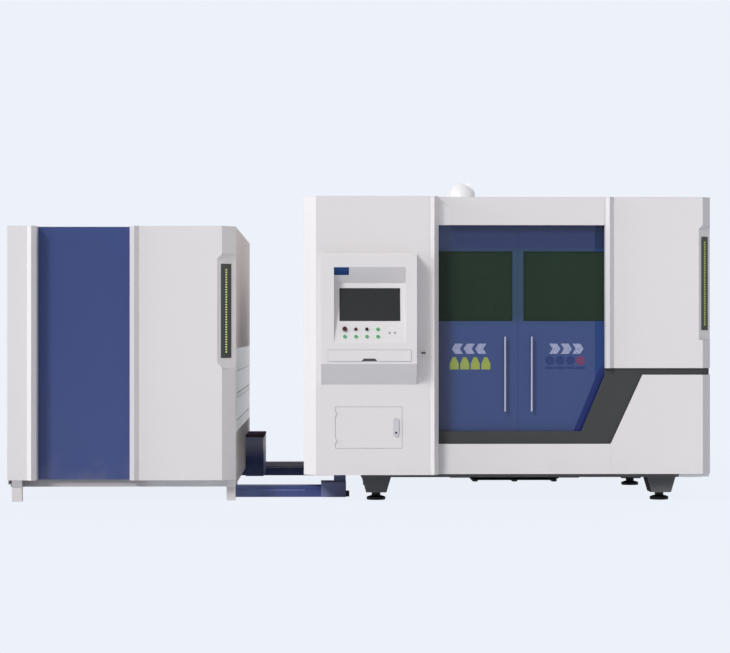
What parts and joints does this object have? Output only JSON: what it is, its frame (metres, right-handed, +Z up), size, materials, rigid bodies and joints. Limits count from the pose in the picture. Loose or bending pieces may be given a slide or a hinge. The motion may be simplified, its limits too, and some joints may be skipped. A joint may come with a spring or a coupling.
{
  "type": "fiber laser cutting machine",
  "caption": "Enclosed flatbed fibre laser cutter with sliding doors, operator console and a side exchange cabinet for its pallets.",
  "frame": {"origin": "on the floor, at the middle of the whole machine's bounding box", "axes": "+X to the right as the operator faces the console, +Y away from the operator, +Z up"},
  "size_m": [5.106, 4.566, 2.3803],
  "materials": {
    "white_paint": "satin light grey-white powder coat",
    "blue_paint": "satin deep blue powder coat",
    "charcoal_paint": "matt charcoal paint",
    "grey_paint": "satin light grey paint",
    "black_plastic": "matt black",
    "foot_steel": "blackened",
    "bright_steel": "brushed",
    "slat_steel": "raw mill steel",
    "green_window": "dark green laser-safe acrylic",
    "screen_glass": "dark glossy display, switched off",
    "red_plastic": "moulded red",
    "green_plastic": "moulded green",
    "gantry_grey": "satin grey paint"
  },
  "bodies": {
    "machine": {"bed_frame": "charcoal_paint", "cabinet_blue_panel": "blue_paint", "cabinet_frame": "grey_paint", "cabinet_front_left_cover": "white_paint", "cabinet_front_right_cover": "white_paint", "cabinet_left_wall": "white_paint", "cabinet_light_bar": "black_plastic", "cabinet_rear_wall": "white_paint", "cabinet_right_wall": "white_paint", "cabinet_roof": "white_paint", "console_housing": "white_paint", "console_screen": "screen_glass", "control_column_cover": "white_paint", "drive_unit_housing": "blue_paint", "enclosure_frame": "charcoal_paint", "foot_front_left": "foot_steel", "foot_front_right": "foot_steel", "foot_middle_left": "foot_steel", "foot_middle_right": "foot_steel", "foot_rear_left": "foot_steel", "foot_rear_right": "foot_steel", "front_tie_beam": "blue_paint", "header_panel": "white_paint", "left_pilaster": "white_paint", "lower_front_cover": "white_paint", "lower_right_cover": "white_paint", "main_left_side_cover": "white_paint", "main_light_bar": "black_plastic", "main_rear_cover": "white_paint", "main_right_side_cover": "white_paint", "main_roof": "white_paint", "rear_tie_beam": "blue_paint", "right_column_cover": "white_paint", "right_pilaster": "white_paint", "roof_hood": "white_paint", "scrap_trough": "charcoal_paint", "sill_band": "charcoal_paint"},
    "left_door_leaf": {"left_door": "blue_paint", "left_door_window": "green_window", "left_door_handle": "bright_steel"},
    "right_door_leaf": {"right_door": "blue_paint", "right_door_window": "green_window", "right_door_handle": "bright_steel"},
    "drawer": {"keyboard_drawer": "white_paint"},
    "key": {"key_switch": "black_plastic"},
    "hatch": {"maintenance_door": "white_paint"},
    "latch": {"maintenance_latch": "bright_steel"},
    "gantry": {"gantry_beam": "gantry_grey"},
    "carriage": {"x_carriage": "white_paint"},
    "head": {"cutting_head": "gantry_grey"},
    "upper_pallet": {"upper_pallet": "slat_steel"},
    "lower_pallet": {"lower_pallet": "slat_steel"},
    "emergency_stop": {"emergency_stop": "red_plastic"},
    "stop_button": {"stop_button": "red_plastic"},
    "start_button": {"start_button": "green_plastic"},
    "laser_on_button": {"laser_on_button": "green_plastic"},
    "gas_on_button": {"gas_on_button": "green_plastic"},
    "light_on_button": {"light_on_button": "green_plastic"},
    "reset_button": {"reset_button": "green_plastic"}
  },
  "joints": [
    {"name": "left_door_slide", "type": "slide", "parent": "machine", "child": "left_door_leaf", "axis": [-1, 0, 0], "range_m": [0, 0.395]},
    {"name": "right_door_slide", "type": "slide", "parent": "machine", "child": "right_door_leaf", "axis": [1, 0, 0], "range_m": [0, 0.395]},
    {"name": "keyboard_drawer_slide", "type": "slide", "parent": "machine", "child": "drawer", "axis": [0, -1, 0], "range_m": [0, 0.125]},
    {"name": "key_switch_turn", "type": "hinge", "parent": "machine", "child": "key", "pos_m": [0.0475, -2.2539, 1.24935], "axis": [0, -0.974, 0.2265], "range_deg": [-90, 0]},
    {"name": "maintenance_door_hinge", "type": "hinge", "parent": "machine", "child": "hatch", "pos_m": [-0.176, -2.122, 0.542], "axis": [0, 0, -1], "range_deg": [0, 110]},
    {"name": "maintenance_latch_lift", "type": "hinge", "parent": "hatch", "child": "latch", "pos_m": [0.261, -2.1223, 0.473], "axis": [1, 0, 0], "range_deg": [0, 50]},
    {"name": "gantry_travel", "type": "slide", "parent": "machine", "child": "gantry", "axis": [0, 1, 0], "range_m": [-0.57, 2.43]},
    {"name": "carriage_travel", "type": "slide", "parent": "gantry", "child": "carriage", "axis": [1, 0, 0], "range_m": [-0.68, 0.82]},
    {"name": "head_lift", "type": "slide", "parent": "carriage", "child": "head", "axis": [0, 0, 1], "range_m": [-0.27, 0]},
    {"name": "upper_pallet_travel", "type": "slide", "parent": "machine", "child": "upper_pallet", "axis": [1, 0, 0], "range_m": [0, 2.858]},
    {"name": "lower_pallet_travel", "type": "slide", "parent": "machine", "child": "lower_pallet", "axis": [1, 0, 0], "range_m": [0, 2.858]},
    {"name": "emergency_stop_press", "type": "slide", "parent": "machine", "child": "emergency_stop", "axis": [0, 0.974, -0.2265], "range_m": [0, 0.005], "stiffness_N_per_m": 300},
    {"name": "stop_button_press", "type": "slide", "parent": "machine", "child": "stop_button", "axis": [0, 0.974, -0.2265], "range_m": [0, 0.004], "stiffness_N_per_m": 300},
    {"name": "start_button_press", "type": "slide", "parent": "machine", "child": "start_button", "axis": [0, 0.974, -0.2265], "range_m": [0, 0.004], "stiffness_N_per_m": 300},
    {"name": "laser_on_button_press", "type": "slide", "parent": "machine", "child": "laser_on_button", "axis": [0, 0.974, -0.2265], "range_m": [0, 0.004], "stiffness_N_per_m": 300},
    {"name": "gas_on_button_press", "type": "slide", "parent": "machine", "child": "gas_on_button", "axis": [0, 0.974, -0.2265], "range_m": [0, 0.004], "stiffness_N_per_m": 300},
    {"name": "light_on_button_press", "type": "slide", "parent": "machine", "child": "light_on_button", "axis": [0, 0.974, -0.2265], "range_m": [0, 0.004], "stiffness_N_per_m": 300},
    {"name": "reset_button_press", "type": "slide", "parent": "machine", "child": "reset_button", "axis": [0, 0.974, -0.2265], "range_m": [0, 0.004], "stiffness_N_per_m": 300}
  ]
}
